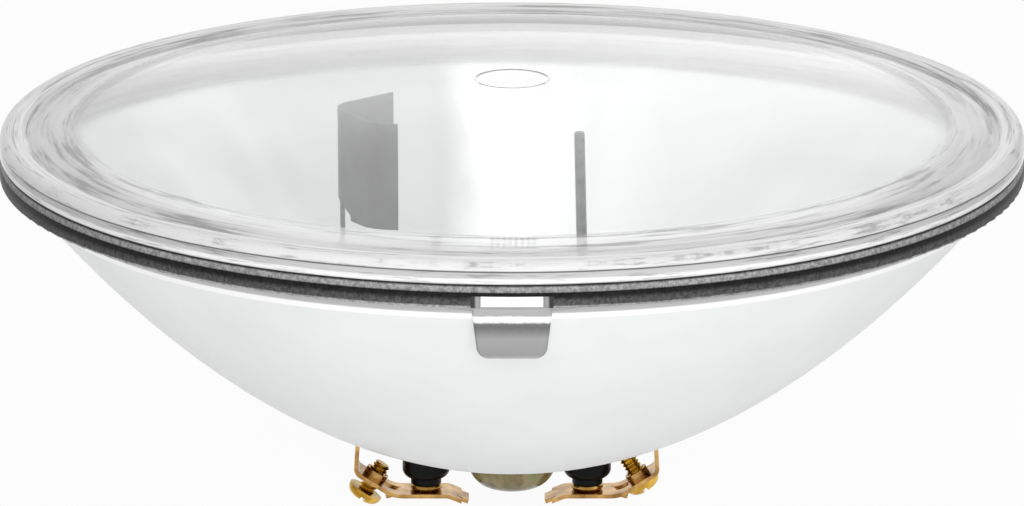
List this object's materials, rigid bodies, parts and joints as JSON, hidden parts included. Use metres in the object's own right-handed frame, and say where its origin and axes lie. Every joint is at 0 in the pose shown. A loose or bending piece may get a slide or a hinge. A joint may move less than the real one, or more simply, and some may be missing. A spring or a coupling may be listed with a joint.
{
  "type": "par spotlight bulb",
  "caption": "Round sealed-beam spotlight lamp with a silvered glass bowl, a domed clear lens and brass screw terminals at the back.",
  "frame": {"origin": "lamp axis at the rear face of the rim flange, the face that a holder's ring carries", "axes": "+Z along the lamp axis towards the light, +X towards the right-hand terminal"},
  "size_m": [0.2032, 0.2032, 0.0878],
  "materials": {
    "bowl_glass": "pressed glass, silvered inside, satin outside",
    "lens_glass": "clear pressed glass",
    "tip_glass": "clear glass with an amber cast",
    "ferrule_metal": "drawn nickel-iron",
    "boot_rubber": "black, satin",
    "strip_brass": "stamped, light tan gold",
    "eyelet_brass": "bright",
    "screw_brass": "bright, deeper gold",
    "post_metal": "drawn wire, dull",
    "filament_metal": "tungsten wire, grey",
    "shield_metal": "rolled sheet, dull"
  },
  "bodies": {
    "lamp": {"reflector": "bowl_glass", "lens": "lens_glass", "exhaust_tip": "tip_glass", "ferrule_left": "ferrule_metal", "ferrule_right": "ferrule_metal", "boot_left": "boot_rubber", "boot_right": "boot_rubber", "eyelet_left": "eyelet_brass", "eyelet_right": "eyelet_brass", "terminal_strip_left": "strip_brass", "terminal_strip_right": "strip_brass", "post_left": "post_metal", "post_right": "post_metal", "filament": "filament_metal", "filament_shield": "shield_metal", "shield_support": "post_metal"},
    "left_screw": {"terminal_screw_left": "screw_brass"},
    "right_screw": {"terminal_screw_right": "screw_brass"}
  },
  "joints": [
    {"name": "left_screw_travel", "type": "slide", "parent": "lamp", "child": "left_screw", "axis": [-0.5299, 0, -0.848], "range_m": [-0.0022, 0.00176]},
    {"name": "right_screw_travel", "type": "slide", "parent": "lamp", "child": "right_screw", "axis": [0.5299, 0, -0.848], "range_m": [0, 0.00396]}
  ]
}
